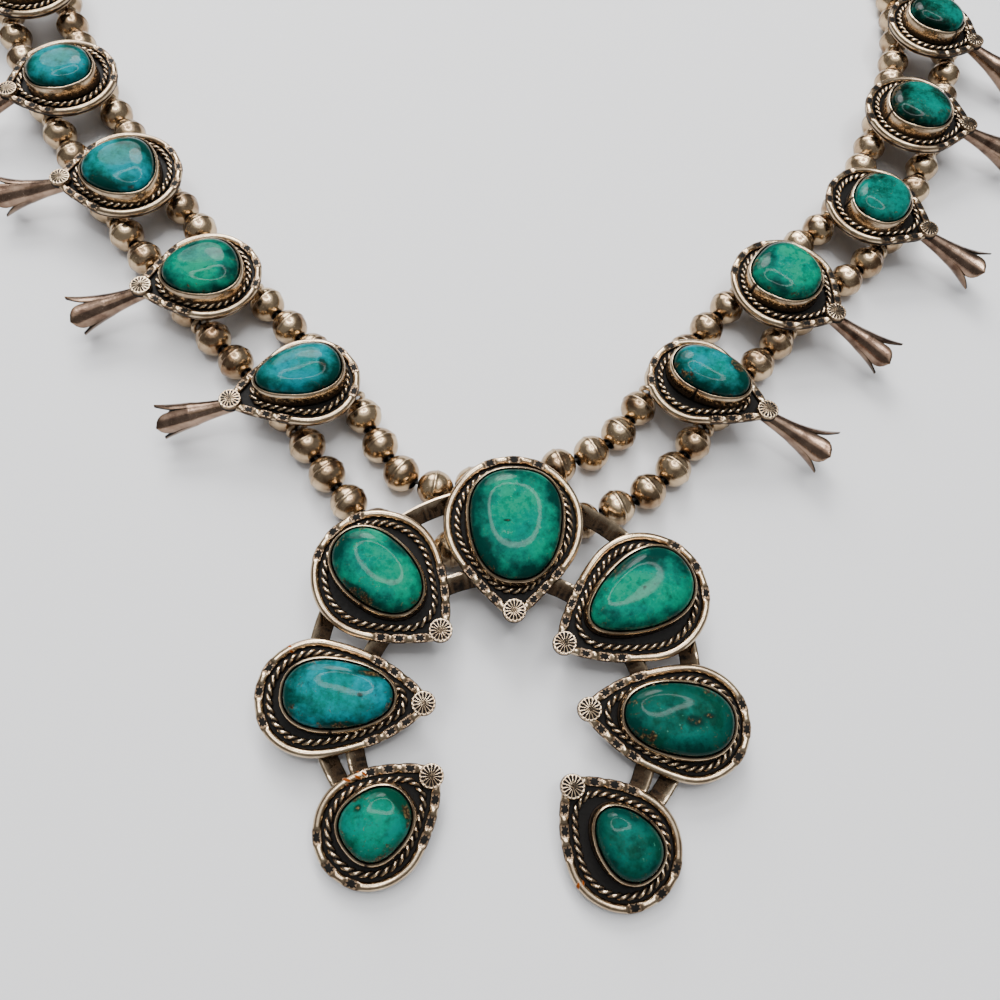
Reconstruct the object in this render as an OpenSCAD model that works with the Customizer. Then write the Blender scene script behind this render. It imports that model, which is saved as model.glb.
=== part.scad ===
// Squash blossom necklace: a crescent naja and ten blossoms on two strands of round silver beads.
// It lies on a flat surface at z = 0, naja towards -Y, as it would be laid out on a table.

/* [Beads] */
// Diameter of a round bead
bead_d = 6.4; // [5.6:0.1:7.4]
// Bore through a bead
bead_bore = 2; // [1.8:0.1:2.6]
// Height of the seam round a bead's middle
seam_rise = 0.12; // [0.06:0.02:0.2]
// Width of that seam
seam_w = 0.5; // [0.3:0.1:1]
// Play between neighbouring beads
bead_play = 0.15; // [0.12:0.01:0.3]
// Diameter of the thread
thread_d = 0.6; // [0.5:0.1:0.8]

/* [Strands] */
// Distance between the centre lines of the two strands
strand_gap = 12; // [11:0.5:14]
// Length of the whole loop along its middle
loop_l = 650; // [640:5:660]
// Beads between two blossoms
beads_between = 3; // [1:1:4]
// Beads under a blossom, between its two pairs of loops
beads_under = 1; // [1:1:2]
// Extra play in each such span, which the inner strand loses on a bend
bend_play = 0.65; // [0.6:0.05:1]
// Distance from the naja's loops to the first blossom on either side, on average
first_blossom = 44.5; // [42:0.5:50]
// How far the naja has slid along the strands, away from the left row
naja_slip = 2.5; // [0:0.5:5]

/* [Settings] */
// Radius of the round end of a common setting
head_r = 10; // [9.4:0.1:10.6]
// Distance from that round end's centre to the tip
tip_l = 14; // [13:0.1:15]
// Thickness of the back plate
plate_t = 0.8; // [0.6:0.1:1.2]
// Diameter of the smooth wire along the edge
rim_d = 1.3; // [1.1:0.05:1.5]
// Diameter of the twisted rope wire
rope_d = 1.05; // [0.9:0.05:1.2]
// Open channel between the edge wire and the rope wire
channel_w = 0.45; // [0.35:0.05:0.7]
// Height of the bezel above the plate, on the naja
naja_bezel_h = 2.7; // [2:0.1:3.2]
// Height of the bezel above the plate, on a blossom
blossom_bezel_h = 3.3; // [2.6:0.1:4]
// Thickness of the bezel's wall
bezel_t = 0.4; // [0.3:0.05:0.5]
// Gap between a stone and its bezel
stone_gap = 0.15; // [0.12:0.01:0.2]
// Height of a stone's dome above its bezel
dome_h = 2; // [1.4:0.1:2.6]
// Diameter of the round button on a tip
button_d = 4.2; // [3.8:0.1:4.8]
// Height of that button above the plate
button_h = 1.5; // [1.2:0.1:2]

/* [Naja] */
// Radius of the outer frame wire, along its ridge
naja_r = 31.3; // [30:0.1:33]
// Radius of the inner frame wire, along its ridge
naja_inner_r = 24.6; // [23.5:0.1:25.5]
// Distance from the outer wire's centre to the inner wire's centre
naja_shift = 7; // [6:0.1:8]
// Width of a frame wire
wire_w = 2.8; // [2.4:0.1:3.2]
// Height of a frame wire
wire_h = 2.1; // [1.8:0.1:2.4]

/* [Blossoms] */
// Length of a flower from its button to its petal tips
flower_l = 13.5; // [12:0.5:16]
// Radius of the flower's neck
neck_r = 1.25; // [1.1:0.05:1.6]
// Radius of the spread petal tips
petal_r = 4.5; // [4:0.1:5.5]
// Thickness of the flower's sheet
petal_t = 0.55; // [0.45:0.05:0.7]
// Wire diameter of the loops under a setting
loop_wire = 1; // [0.8:0.1:1.2]
// Hole in a loop, for the thread
loop_hole = 2.2; // [1.8:0.1:2.6]

/* [Clasp] */
// Length of the clasp's two barrels
clasp_l = 12; // [8:1:16]
// Diameter of a barrel
clasp_d = 5; // [4:0.5:6]

/* [Hidden] */
silver = "#b9a791";
tarnished = "#8f7a69";
turquoise = "#1f9d8a";
cord_black = "#1c1a19";
clear = 0.25;
overlap = 0.15;
rim_tip_r = 0.8 * rim_d;
rope_tip_r = 1.6 * rope_d;
arc_fn = 64;
bead_fn = 64;

// Heights above the surface
bead_z = bead_d / 2 + seam_rise;
bead_top = 2 * bead_z;
plate_z = bead_top + clear + loop_wire;

// Spacing along the strands, counted in beads
bead_pitch = bead_d + bead_play;
function span(count) = count * bead_pitch + bead_play + bend_play + loop_wire;
loop_half = span(beads_under) / 2;
blossom_pitch = span(beads_under) + span(beads_between);

// Route of the middle between the two strands, naja first, then round by the left: x and y seen
// from the naja, and the gap between the strands there, as a share of strand_gap
ROUTE = [
    [0, 21, 0.92], [-12, 17.6, 0.92], [-22, 21, 0.86], [-29.5, 29.5, 0.9], [-37, 40, 1],
    [-57.5, 60.3, 1], [-77, 82.5, 1], [-94.5, 106.5, 1], [-108.5, 132, 1], [-116, 160, 1],
    [-110, 189, 1], [-87, 213, 1], [-52, 227, 1], [-14, 232, 1], [22, 229, 1], [54, 217, 1],
    [78, 199, 1], [91, 175, 1], [91.5, 147, 1], [83, 117, 1], [70, 90, 1], [50.5, 69.5, 1],
    [32.5, 46.5, 1], [22, 31.5, 0.97], [11, 24.5, 0.92]
];
// Moves the middle of the whole outline to the origin
origin_shift = [9.41, -98.94];

// Radius of a loop's ring, along the middle of its wire
ring_r = (loop_hole + loop_wire) / 2;

// The naja rests on its foot and, at the crossing, lies on top of the outer strand's beads
naja_foot = -35;
strand_crossing = 14.5;
naja_tilt = asin((bead_top + clear / 2) / (strand_crossing - naja_foot));
naja_centre = [0, -9];
// Where the inner strand's loop meets the back of the top setting
stem_reach = 24;

// Seven settings on the naja: name, bearing round the frame, reach as a share of naja_r,
// turn of the tip away from the middle, round end as a share of head_r, tip as a share of tip_l,
// fullness of the sides, stone's length and width as shares of its room, taper, squareness, and
// how far it sits towards the tip and to the left of that
NAJA_SETTINGS = [
    ["top", 90, 0.79, 3, 1.15, 1.17, 4, 0.88, 0.92, 0.12, 0.86, -0.6, 0.2],
    ["upper_left", 145.5, 0.83, -4, 1.06, 1.10, 2.5, 0.82, 0.84, 0.04, 0.92, -0.9, 0.4],
    ["middle_left", 190, 0.95, -10, 0.90, 1.32, 2, 0.81, 0.91, 0.16, 0.90, 0.2, 0.4],
    ["lower_left", 231.5, 0.97, -8, 0.85, 0.95, 2, 0.72, 0.93, 0.10, 0.86, 0, 0.1],
    ["upper_right", 32.5, 0.83, 1, 1.05, 1.23, 2.5, 0.85, 0.87, 0.24, 0.96, -0.8, -0.8],
    ["middle_right", -11, 0.96, 7, 0.91, 1.29, 2, 0.88, 0.98, 0.04, 0.90, -0.5, -0.1],
    ["lower_right", -52.5, 0.99, 6, 0.89, 0.95, 2, 0.76, 0.79, 0.16, 0.94, -0.4, -0.7]
];

// Ten blossoms: name, side of the naja (-1 left, 1 right), place in the row, turn of the flower,
// round end as a share of head_r, tip as a share of tip_l, fullness of the sides,
// stone's length and width as shares of its room, taper, squareness, and how far it sits towards
// the tip and to the left of that
BLOSSOMS = [
    ["left_1", -1, 1, -19, 0.87, 1.11, 4, 0.86, 0.89, 0.24, 0.94, -0.9, -0.8],
    ["left_2", -1, 2, -23, 0.95, 0.98, 4, 0.84, 0.96, 0.22, 0.94, -0.1, 0.4],
    ["left_3", -1, 3, -24, 1.04, 0.98, 4, 0.78, 0.94, 0.24, 0.92, 0.2, 0.8],
    ["left_4", -1, 4, -2, 1.03, 0.92, 4, 0.80, 0.79, 0.06, 0.88, 0, 0.5],
    ["left_5", -1, 5, 4, 1.00, 0.92, 4, 0.83, 0.90, 0.12, 0.94, 0, 0],
    ["right_1", 1, 1, 12, 0.88, 1.10, 4, 0.81, 0.88, 0.08, 0.92, -0.3, 0.8],
    ["right_2", 1, 2, 5, 1.04, 0.92, 4, 0.79, 0.92, 0.12, 0.86, -0.6, 0],
    ["right_3", 1, 3, 3, 0.98, 0.96, 4, 0.67, 0.96, 0.02, 0.88, 0.1, -0.5],
    ["right_4", 1, 4, 6, 1.08, 0.92, 4, 0.78, 0.85, 0.04, 0.92, 0, -0.8],
    ["right_5", 1, 5, -20, 0.99, 0.85, 4, 0.81, 0.84, 0.04, 0.92, 0, 0]
];

// Teardrop outlines. The round end is centred on the origin and the tip points along +X.
// The sides are arcs that leave the round end at a tangent, and a small arc rounds off the tip.

function side_r(r, tip, fullness) = fullness * (r + tip) / 2;

function side_centre(r, tip, big) =
    let (x = (r * r - 2 * big * r + tip * tip) / (2 * tip))
    [x, -sqrt((big - r) * (big - r) - x * x)];

// Angle, seen from a side's centre, at which its arc starts on the round end
function side_start(centre) = atan2(-centre.y, -centre.x);

// The tip's arc lies at this place along +X, and the side arc ends on it at this angle
function tip_x(centre, reach) = centre.x + sqrt(reach * reach - centre.y * centre.y);
function side_end(centre, reach) = asin(-centre.y / reach);

// Points on half of the round end, and on one side
HEAD_STEPS = 9;
SIDE_STEPS = 5;

module teardrop(r, tip, fullness, inset, tip_r) {
    big = side_r(r, tip, fullness);
    centre = side_centre(r, tip, big);
    start = side_start(centre);
    reach = big - inset - tip_r;
    finish = side_end(centre, reach);
    half = concat(
        [for (i = [0 : HEAD_STEPS - 1]) let (a = 180 + (start - 180) * i / HEAD_STEPS)
            (r - inset) * [cos(a), sin(a)]],
        [for (i = [0 : SIDE_STEPS]) let (a = start + (finish - start) * i / SIDE_STEPS)
            centre + (big - inset) * [cos(a), sin(a)]],
        [for (i = [1 : 2]) let (a = finish * (1 - i / 3))
            [tip_x(centre, reach), 0] + tip_r * [cos(a), sin(a)]]
    );
    n = len(half);
    polygon(concat(half, [for (i = [n - 1 : -1 : 1]) [half[i].x, -half[i].y]]));
}

// A half-round wire that follows the teardrop: stepped rings, each narrower and taller.
// WIRE_STEPS holds how far a ring is drawn in from both edges and how high it stands, as shares.
WIRE_STEPS = [[0, 0.6], [0.2, 1]];
module teardrop_wire(r, tip, fullness, inset, tip_r, wire_d, height) {
    for (s = WIRE_STEPS)
        linear_extrude(height * s[1])
            difference() {
                teardrop(r, tip, fullness, inset + wire_d * s[0], tip_r);
                teardrop(r, tip, fullness, inset + wire_d * (1 - s[0]), tip_r);
            }
}

// Stones. An outline is an ellipse made fuller by its squareness and narrower towards the tip.

border = rim_d + channel_w + rope_d + overlap + bezel_t + stone_gap;

function rounded(v, power) = sign(v) * pow(abs(v), power);

function stone_outline(length, width, taper, power, grow, count = 28) = [
    for (i = [0 : count - 1])
        let (a = 360 * i / count, c = rounded(cos(a), power), s = rounded(sin(a), power))
        [(length / 2 + grow) * c, (width / 2 + grow) * s * (1 - taper * c)]
];

// A stone's length, width, taper and squareness. The fill says how much of its setting it takes.
function stone_size(r, tip, fill) = [
    (r + tip - 2 * border) * fill[0],
    (2 * r - 2 * border) * fill[1],
    fill[2],
    fill[3]
];

// A stone's middle lies halfway along its setting, less a quarter of the button, and is then moved
// towards the tip and to the side
function stone_middle(r, tip, ahead, aside) = [(tip - r) / 2 - button_d / 4 + ahead, aside];

// Polished domed stone: upright below the top of the bezel, then rounded over
module stone(size, bezel_h, base_z) {
    levels = [
        [1, stone_gap], [1, bezel_h - stone_gap], [0.93, bezel_h + 0.42 * dome_h],
        [0.78, bezel_h + 0.74 * dome_h], [0.52, bezel_h + 0.93 * dome_h]
    ];
    outline = stone_outline(size[0], size[1], size[2], size[3], 0);
    n = len(outline);
    top = len(levels) * n;
    points = concat(
        [for (v = levels) for (p = outline) [p.x * v[0], p.y * v[0], base_z + v[1]]],
        [[0, 0, base_z + bezel_h + dome_h]]
    );
    faces = concat(
        [[for (i = [0 : n - 1]) i]],
        [for (k = [0 : len(levels) - 2]) for (i = [0 : n - 1])
            let (j = (i + 1) % n) [k * n + i, (k + 1) * n + i, (k + 1) * n + j, k * n + j]],
        [for (i = [0 : n - 1]) [top - n + i, top, top - n + (i + 1) % n]]
    );
    polyhedron(points, faces);
}

// A stone's outline grown on all sides, and made into an upright block
module grown_stone(size, grow, height) {
    linear_extrude(height)
        polygon(stone_outline(size[0], size[1], size[2], size[3], grow));
}

// Back plate, edge wire, rope wire, bezel and button, all soldered together.
// The plate's underside is at z = 0 and the round end is centred on the origin.
module setting(r, tip, fullness, size, middle, bezel_h) {
    button_x = tip - 0.4 * button_d;
    linear_extrude(plate_t) teardrop(r, tip, fullness, rim_d / 4, rim_tip_r);
    difference() {
        union() {
            translate([0, 0, plate_t / 2])
                teardrop_wire(r, tip, fullness, 0, rim_tip_r, rim_d, rim_d);
            translate([0, 0, plate_t - overlap])
                teardrop_wire(r, tip, fullness, rim_d + channel_w, rope_tip_r, rope_d, rope_d);
            translate([middle.x, middle.y, plate_t - overlap])
                grown_stone(size, stone_gap + bezel_t, bezel_h + overlap);
            translate([button_x, 0, plate_t - overlap])
                cylinder(h = button_h + overlap, d = button_d, $fn = 40);
        }
        translate([middle.x, middle.y, plate_t]) grown_stone(size, stone_gap, 2 * bezel_h);
    }
}

// The two strands. Both follow the route at half the strand gap to either side.

function spline(p0, p1, p2, p3, t) =
    0.5 * (2 * p1 + (p2 - p0) * t + (2 * p0 - 5 * p1 + 4 * p2 - p3) * t * t
        + (3 * p1 - p0 - 3 * p2 + p3) * t * t * t);

STEPS = 12;
ROUTE_N = len(ROUTE);
RAW = [
    for (i = [0 : ROUTE_N - 1]) for (k = [0 : STEPS - 1])
        spline(ROUTE[(i + ROUTE_N - 1) % ROUTE_N], ROUTE[i], ROUTE[(i + 1) % ROUTE_N],
            ROUTE[(i + 2) % ROUTE_N], k / STEPS)
];
RAW_N = len(RAW);

function running(points, i = 0, sum = 0) =
    i > len(points) ? [] :
    concat([sum], running(points, i + 1,
        sum + norm(points[(i + 1) % len(points)] - points[i % len(points)])));

// Scaled so that the route is as long as the loop
RAW_L = running([for (p = RAW) [p.x, p.y]])[RAW_N];
MIDDLE = [for (p = RAW) [p.x, p.y] * loop_l / RAW_L];

function way(points, i) = points[(i + 1) % len(points)] - points[(i + len(points) - 1) % len(points)];

// Unit vector that points out of the loop
function outward(points, i) = let (w = way(points, i)) [-w.y, w.x] / norm(w);

// A strand outside the route (1), inside it (-1) or along its middle (0). It holds x and y by
// distance along the strand, that distance by the distance along the middle, and its length.
function strand(side) =
    let (
        points = [for (i = [0 : RAW_N - 1])
            MIDDLE[i] + side * RAW[i].z * strand_gap / 2 * outward(MIDDLE, i)],
        along = running(points),
        middle = running(MIDDLE)
    )
    [
        [for (i = [0 : RAW_N]) [along[i], points[i % RAW_N].x]],
        [for (i = [0 : RAW_N]) [along[i], points[i % RAW_N].y]],
        [for (i = [0 : RAW_N]) [middle[i], along[i]]],
        along[RAW_N]
    ];

OUTER = strand(1);
INNER = strand(-1);
CENTRE = strand(0);

function wrap(s, total) = s < 0 ? s + total : s > total ? s - total : s;
function at(st, s) = let (w = wrap(s, st[3])) [lookup(w, st[0]), lookup(w, st[1])];
function heading(st, s) =
    let (d = at(st, s + 0.5) - at(st, s - 0.5)) atan2(d.y, d.x);

// Distance along a strand that lies beside a distance along the middle, which may be below zero
function beside(st, m) = m < 0 ? lookup(m + CENTRE[3], st[2]) - st[3] : lookup(m, st[2]);

// Where a blossom sits along the middle. The route starts at the naja and runs round by the left.
function blossom_at(side, place) =
    -side * (first_blossom + (place - 1) * blossom_pitch) + naja_slip;

// Bead centres in a span between two stops, packed from its far end or spread over it.
// Packed beads lie twice the play apart, so that they still clear each other round a bend.
packed_pitch = bead_pitch + bead_play;
function packed(from, to, count) =
    [for (i = [0 : count - 1]) to - sign(to - from) * (loop_wire / 2 + bead_play + bead_d / 2
        + i * packed_pitch)];
function spread(from, to, count) =
    [for (i = [0 : count - 1]) from + (to - from) * (i + 0.5) / count];
function room(from, to) = floor((abs(to - from) - loop_wire - bead_play) / packed_pitch);

function side_beads(st, side) =
    let (
        dir = -side,
        last = len(BLOSSOMS) / 2,
        gate = function (place, end) beside(st, blossom_at(side, place) + end * dir * loop_half),
        first = gate(1, -1),
        start = beside(st, 0),
        back_from = gate(last, 1),
        back_to = beside(st, dir * (CENTRE[3] / 2 - clasp_l / 2))
    )
    concat(
        packed(start, first, room(start, first)),
        [for (p = [1 : last]) each spread(gate(p, -1) + dir * loop_wire / 2,
            gate(p, 1) - dir * loop_wire / 2, beads_under)],
        [for (p = [1 : last - 1]) each spread(gate(p, 1) + dir * loop_wire / 2,
            gate(p + 1, -1) - dir * loop_wire / 2, beads_between)],
        spread(back_from + dir * loop_wire / 2, back_to, room(back_from, back_to))
    );

module bead() {
    color(silver)
        rotate([0, 90, 0])
            difference() {
                union() {
                    sphere(d = bead_d, $fn = bead_fn);
                    cylinder(h = seam_w, r = bead_z, center = true, $fn = bead_fn);
                }
                cylinder(h = 2 * bead_d, d = bead_bore, center = true, $fn = 20);
            }
}

module on_strand(st, s, z) {
    p = at(st, s);
    translate([p.x + origin_shift.x, p.y + origin_shift.y, z])
        rotate([0, 0, heading(st, s)])
            children();
}

module beads(st) {
    for (side = [-1, 1], s = side_beads(st, side))
        on_strand(st, s, bead_z) bead();
}

THREAD_RINGS = 120;
THREAD_SIDES = 6;
module thread(st) {
    points = [
        for (k = [0 : THREAD_RINGS - 1])
            let (s = st[3] * k / THREAD_RINGS, p = at(st, s) + origin_shift, a = heading(st, s) + 90)
            for (j = [0 : THREAD_SIDES - 1])
                let (t = 360 * j / THREAD_SIDES, out = thread_d / 2 * cos(t))
                [p.x + out * cos(a), p.y + out * sin(a), bead_z + thread_d / 2 * sin(t)]
    ];
    faces = [
        for (k = [0 : THREAD_RINGS - 1], j = [0 : THREAD_SIDES - 1])
            let (
                a = k * THREAD_SIDES, b = ((k + 1) % THREAD_RINGS) * THREAD_SIDES,
                next = (j + 1) % THREAD_SIDES
            )
            [a + j, b + j, b + next, a + next]
    ];
    color(cord_black) polyhedron(points, faces);
}

// A ring of wire round the thread
module ring() {
    rotate([0, 90, 0])
        rotate_extrude($fn = 40)
            translate([ring_r, 0]) circle(d = loop_wire, $fn = 16);
}

// A ring with its stem up to a height above the bead's centre
module thread_loop(stem) {
    ring();
    translate([0, 0, ring_r]) cylinder(h = stem - ring_r, d = 0.9 * loop_wire, $fn = 20);
}

// The flower: a flared tube of sheet, cut into four pointed petals. It opens along +X.
module flower() {
    profile = [[0, neck_r], [0.3, 1.3 * neck_r], [0.55, 0.5 * petal_r], [0.78, 0.69 * petal_r],
        [1, petal_r]];
    n = len(profile);
    cut_from = 0.51 * flower_l;
    cut_l = 2 * (flower_l - cut_from);
    cut_w = 0.95 * petal_r;
    color(tarnished)
        difference() {
            rotate([0, 90, 0])
                rotate_extrude($fn = 40)
                    polygon(concat(
                        [for (p = profile) [p[1], p[0] * flower_l]],
                        [for (i = [n - 1 : -1 : 1]) [profile[i][1] - petal_t, profile[i][0] * flower_l]],
                        [[0, profile[1][0] * flower_l], [0, 0]]
                    ));
            for (k = [0 : 3])
                rotate([45 + 90 * k, 0, 0])
                    translate([cut_from, 0, 0])
                        linear_extrude(2 * petal_r)
                            polygon([[0, 0], [cut_l, cut_w], [cut_l, -cut_w]]);
        }
}

flower_droop = asin((plate_z - petal_r) / flower_l);

function blossom_r(b) = head_r * b[4];
function blossom_tip(b) = tip_l * b[5];
function blossom_fill(b) = stone_size(blossom_r(b), blossom_tip(b), [b[7], b[8], b[9], b[10]]);
function blossom_middle(b) = stone_middle(blossom_r(b), blossom_tip(b), b[11], b[12]);

module place_blossom(b) {
    m = blossom_at(b[1], b[2]);
    on_strand(CENTRE, wrap(m, CENTRE[3]), plate_z)
        rotate([0, 0, 90 + b[3]])
            children();
}

module blossom(b) {
    r = blossom_r(b);
    tip = blossom_tip(b);
    m = blossom_at(b[1], b[2]);
    color(silver) {
        place_blossom(b)
            setting(r, tip, b[6], blossom_fill(b), blossom_middle(b), blossom_bezel_h);
        for (st = [OUTER, INNER]) {
            ends = [for (e = [-1, 1]) at(st, beside(st, m + e * loop_half)) + origin_shift];
            for (e = [-1, 1])
                on_strand(st, beside(st, m + e * loop_half), bead_z)
                    thread_loop(plate_z + plate_t / 2 - bead_z);
            loop_bar(ends[0], ends[1]);
        }
    }
    place_blossom(b)
        translate([tip - 0.4 * button_d, 0, 0])
            rotate([0, flower_droop, 0])
                flower();
}

// A wire soldered under the plate, which joins the two loops of one strand
module loop_bar(from, to) {
    d = to - from;
    translate([from.x, from.y, plate_z - loop_wire])
        rotate([0, 0, atan2(d.y, d.x)])
            translate([-loop_wire, -loop_wire / 2, 0])
                cube([norm(d) + 2 * loop_wire, loop_wire, loop_wire + overlap]);
}

module blossom_stone(b) {
    color(turquoise)
        place_blossom(b)
            translate(blossom_middle(b))
                stone(blossom_fill(b), blossom_bezel_h, plate_t);
}

// The naja: two frame wires under seven settings, tilted up over the beads at its top

function naja_setting_r(s) = head_r * s[4];
function naja_setting_tip(s) = tip_l * s[5];
function naja_fill(s) =
    stone_size(naja_setting_r(s), naja_setting_tip(s), [s[7], s[8], s[9], s[10]]);
function naja_middle(s) = stone_middle(naja_setting_r(s), naja_setting_tip(s), s[11], s[12]);

module tilt_naja() {
    translate([origin_shift.x, origin_shift.y + naja_foot, 0])
        rotate([naja_tilt, 0, 0])
            translate([0, -naja_foot, 0])
                children();
}

module place_naja_setting(s) {
    translate([naja_centre.x, naja_centre.y, wire_h - overlap])
        rotate([0, 0, s[1]])
            translate([naja_r * s[2], 0, 0])
                rotate([0, 0, 180 + s[3]])
                    children();
}

module frame_wire(radius, from, to) {
    rotate([0, 0, from])
        rotate_extrude(angle = to - from, $fn = 3 * arc_fn)
            polygon([[radius - wire_w, 0], [radius, 0], [radius, wire_h],
                [radius - 0.2 * wire_w, wire_h]]);
}

// A straight wire between two points
module rod(from, to, d) {
    v = to - from;
    translate(from)
        rotate([0, acos(v.z / norm(v)), atan2(v.y, v.x)])
            cylinder(h = norm(v), d = d, $fn = 20);
}

// A point given in the naja's own flat frame, moved to where the tilt takes it
function tilted(p) = [
    p.x + origin_shift.x,
    p.y * cos(naja_tilt) - p.z * sin(naja_tilt) + naja_foot * (1 - cos(naja_tilt)) + origin_shift.y,
    (p.y - naja_foot) * sin(naja_tilt) + p.z * cos(naja_tilt)
];

// Two loops carry the naja, one on each strand. Their stems reach the back of the top setting.
module naja_loop(st, reach) {
    foot = at(st, 0);
    on_strand(st, 0, bead_z) ring();
    rod([foot.x + origin_shift.x, foot.y + origin_shift.y, bead_z + ring_r],
        tilted([foot.x, reach, wire_h]), loop_wire);
}

module naja() {
    color(silver) {
        naja_loop(OUTER, at(OUTER, 0).y);
        naja_loop(INNER, stem_reach);
        tilt_naja() {
            translate(naja_centre) frame_wire(naja_r, -56, 236);
            translate([naja_centre.x, naja_centre.y - naja_shift]) frame_wire(naja_inner_r, -46, 226);
            for (s = NAJA_SETTINGS)
                place_naja_setting(s)
                    setting(naja_setting_r(s), naja_setting_tip(s), s[6], naja_fill(s),
                        naja_middle(s), naja_bezel_h);
        }
    }
}

module naja_stone(s) {
    color(turquoise)
        tilt_naja()
            place_naja_setting(s)
                translate(naja_middle(s))
                    stone(naja_fill(s), naja_bezel_h, plate_t);
}

// The clasp: two bored barrels joined by a bar
module clasp() {
    m = CENTRE[3] / 2;
    color(silver)
        difference() {
            union() {
                for (st = [OUTER, INNER])
                    on_strand(st, beside(st, m), bead_z)
                        rotate([0, 90, 0])
                            cylinder(h = clasp_l - 2 * clear, d = clasp_d, center = true, $fn = 40);
                on_strand(CENTRE, m, bead_z)
                    cube([clasp_d, strand_gap, clasp_d / 2], center = true);
            }
            for (st = [OUTER, INNER])
                on_strand(st, beside(st, m), bead_z)
                    rotate([0, 90, 0])
                        cylinder(h = 2 * clasp_l, d = bead_bore, center = true, $fn = 20);
        }
}

naja();
for (s = NAJA_SETTINGS)
    naja_stone(s);
for (b = BLOSSOMS)
    blossom(b);
for (b = BLOSSOMS)
    blossom_stone(b);
beads(INNER);  // beads_inner
beads(OUTER);  // beads_outer
thread(INNER);  // thread_inner
thread(OUTER);  // thread_outer
clasp();
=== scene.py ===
"""The looks of the squash blossom necklace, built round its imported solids.

Lengths are in millimetres until a mesh is made. The naja's own flat frame has its origin between
the two first blossoms, as in the solids, and ORIGIN_SHIFT takes it to the shared frame."""

import math

import bpy
import bmesh
import numpy as np
from mathutils import Matrix, Vector


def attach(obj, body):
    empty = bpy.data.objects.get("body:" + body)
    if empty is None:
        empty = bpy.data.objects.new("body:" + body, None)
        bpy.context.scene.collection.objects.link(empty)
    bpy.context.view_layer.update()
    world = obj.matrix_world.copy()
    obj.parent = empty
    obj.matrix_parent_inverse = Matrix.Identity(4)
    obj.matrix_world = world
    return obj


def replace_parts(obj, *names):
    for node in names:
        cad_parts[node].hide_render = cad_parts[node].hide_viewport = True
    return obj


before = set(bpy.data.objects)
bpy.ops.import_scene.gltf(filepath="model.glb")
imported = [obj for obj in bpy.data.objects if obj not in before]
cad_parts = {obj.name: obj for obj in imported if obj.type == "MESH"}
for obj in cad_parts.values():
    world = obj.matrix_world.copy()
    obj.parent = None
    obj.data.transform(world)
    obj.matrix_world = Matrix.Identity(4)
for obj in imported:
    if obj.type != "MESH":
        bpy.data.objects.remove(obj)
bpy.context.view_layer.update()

MM = 0.001

# Sizes of the solids

BEAD_D = 6.4
BEAD_BORE = 2.0
SEAM_RISE = 0.12
BEAD_PLAY = 0.15
STRAND_GAP = 12.0
LOOP_L = 650.0
BEADS_BETWEEN = 3
BEADS_UNDER = 1
BEND_PLAY = 0.65
FIRST_BLOSSOM = 44.5
NAJA_SLIP = 2.5

HEAD_R = 10.0
TIP_L = 14.0
PLATE_T = 0.8
RIM_D = 1.3
ROPE_D = 1.05
CHANNEL_W = 0.45
NAJA_BEZEL_H = 2.7
BLOSSOM_BEZEL_H = 3.3
BEZEL_T = 0.4
STONE_GAP = 0.15
DOME_H = 2.0
BUTTON_D = 4.2
BUTTON_H = 1.5
OVERLAP = 0.15
CLEAR = 0.25

NAJA_R = 31.3
NAJA_INNER_R = 24.6
NAJA_SHIFT = 7.0
WIRE_H = 2.1
NAJA_FOOT = -35.0
NAJA_CENTRE = (0.0, -9.0)
STRAND_CROSSING = 14.5
STEM_REACH = 24.0

FLOWER_L = 13.5
NECK_R = 1.25
PETAL_R = 4.5
PETAL_T = 0.5
LOOP_WIRE = 1.0
LOOP_HOLE = 2.2
CLASP_L = 12.0

RIM_TIP_R = 0.8 * RIM_D
BEAD_Z = BEAD_D / 2 + SEAM_RISE
BEAD_TOP = 2 * BEAD_Z
PLATE_Z = BEAD_TOP + CLEAR + LOOP_WIRE
BEAD_PITCH = BEAD_D + BEAD_PLAY
PACKED_PITCH = BEAD_PITCH + BEAD_PLAY
RING_R = (LOOP_HOLE + LOOP_WIRE) / 2
BUTTON_BACK = 0.4 * BUTTON_D
BORDER = RIM_D + CHANNEL_W + ROPE_D + OVERLAP + BEZEL_T + STONE_GAP
NAJA_TILT = math.degrees(math.asin((BEAD_TOP + CLEAR / 2) / (STRAND_CROSSING - NAJA_FOOT)))
ORIGIN_SHIFT = np.array([9.41, -98.94])

# Middle line between the strands: x, y and the gap between the strands as a share of STRAND_GAP
ROUTE = np.array([
    (0, 21, 0.92), (-12, 17.6, 0.92), (-22, 21, 0.86), (-29.5, 29.5, 0.9), (-37, 40, 1),
    (-57.5, 60.3, 1), (-77, 82.5, 1), (-94.5, 106.5, 1), (-108.5, 132, 1), (-116, 160, 1),
    (-110, 189, 1), (-87, 213, 1), (-52, 227, 1), (-14, 232, 1), (22, 229, 1), (54, 217, 1),
    (78, 199, 1), (91, 175, 1), (91.5, 147, 1), (83, 117, 1), (70, 90, 1), (50.5, 69.5, 1),
    (32.5, 46.5, 1), (22, 31.5, 0.97), (11, 24.5, 0.92),
])

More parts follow.
